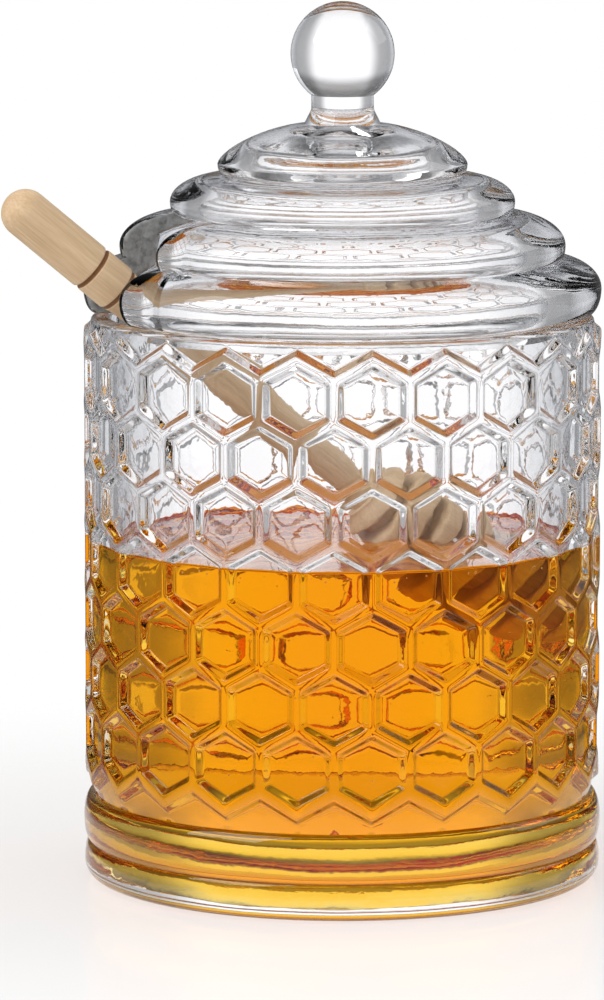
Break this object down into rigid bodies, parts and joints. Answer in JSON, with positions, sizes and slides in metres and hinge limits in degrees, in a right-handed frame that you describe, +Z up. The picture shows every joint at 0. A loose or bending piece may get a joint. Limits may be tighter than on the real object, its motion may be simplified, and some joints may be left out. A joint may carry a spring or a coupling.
{
  "type": "honey pot with dipper",
  "caption": "Round pressed-glass honey pot with honeycomb relief, a stepped beehive lid with ball knob and notch, part filled with honey, and a turned wooden dipper leaning out of it.",
  "frame": {"origin": "centre of the jar's flat underside, on the surface that it stands on", "axes": "+Z up the jar's axis, -Y towards the picture's camera, -X towards the dipper's handle"},
  "size_m": [0.1093, 0.0956, 0.1613],
  "materials": {
    "clear_glass": "clear, polished",
    "honey": "amber, see-through, wet",
    "pale_wood": "turned, sanded, unvarnished"
  },
  "bodies": {
    "root": {"jar": "clear_glass", "lid": "clear_glass", "honey": "honey", "dipper": "pale_wood"}
  },
  "joints": []
}
